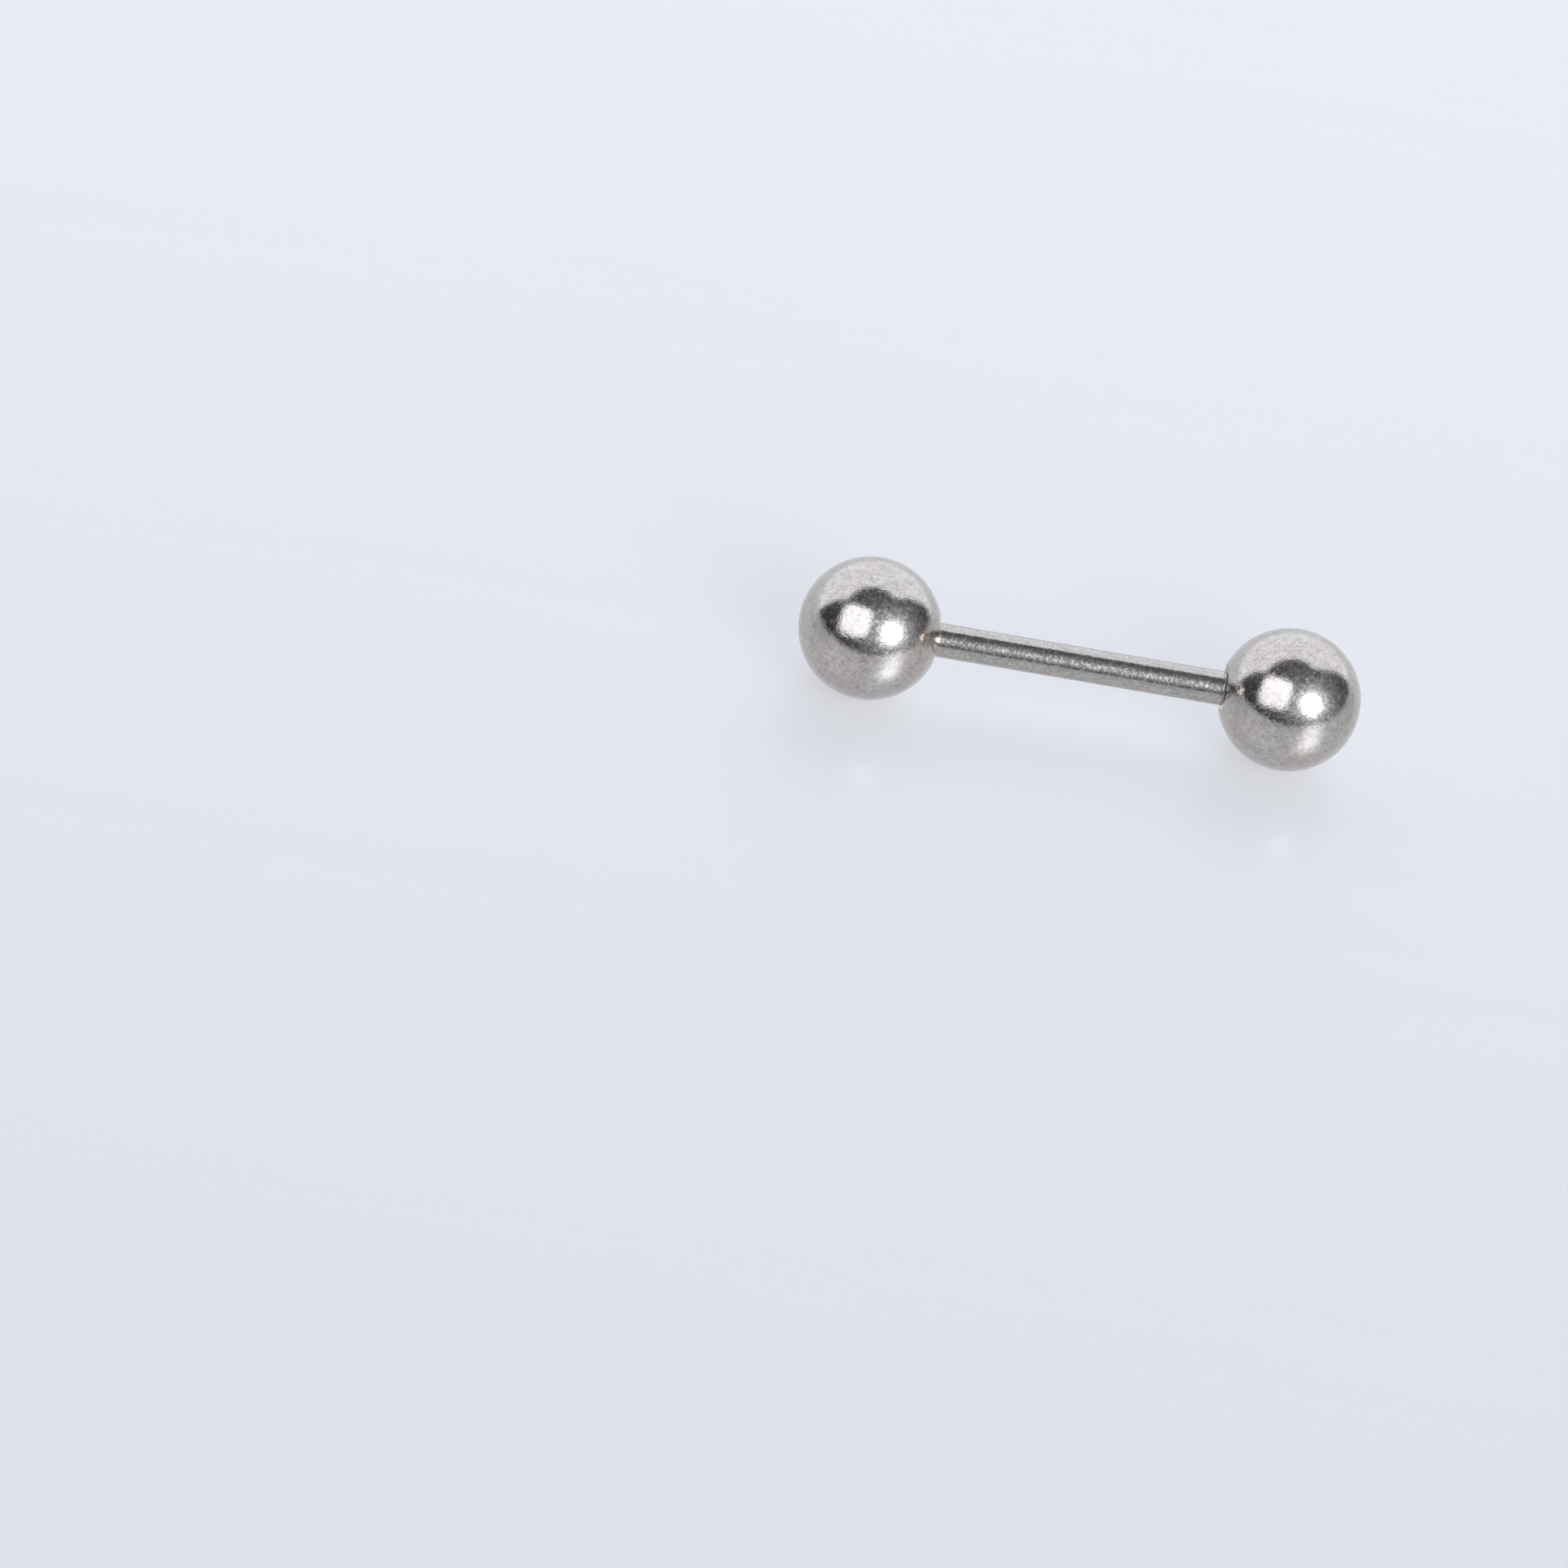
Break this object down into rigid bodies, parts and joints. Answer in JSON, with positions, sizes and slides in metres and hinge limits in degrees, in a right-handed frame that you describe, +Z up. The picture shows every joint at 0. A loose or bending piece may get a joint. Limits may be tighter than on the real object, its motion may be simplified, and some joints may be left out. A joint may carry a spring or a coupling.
{
  "type": "nipple barbell",
  "caption": "Straight body jewellery barbell: a polished steel bar with a screw thread at each end and a countersunk ball screwed onto each.",
  "frame": {"origin": "on the surface that the barbell lies on, midway between its two balls", "axes": "+X along the bar, +Z up, and the bar's axis one ball radius over the surface"},
  "size_m": [0.0198, 0.005, 0.005],
  "materials": {
    "bar_steel": "drawn wire polished along its length, with fine scratches round it and a cut thread at each end",
    "ball_steel": "tumble polished steel, near mirror bright, with a very fine pitted grain and a turned countersink"
  },
  "bodies": {
    "bar": {"bar": "bar_steel"},
    "ball_left": {"ball_left": "ball_steel"},
    "ball_right": {"ball_right": "ball_steel"}
  },
  "joints": [
    {"name": "ball_left_unscrew", "type": "slide", "parent": "bar", "child": "ball_left", "axis": [-1, 0, 0], "range_m": [0, 0.013]},
    {"name": "ball_right_unscrew", "type": "slide", "parent": "bar", "child": "ball_right", "axis": [1, 0, 0], "range_m": [0, 0.013]}
  ]
}
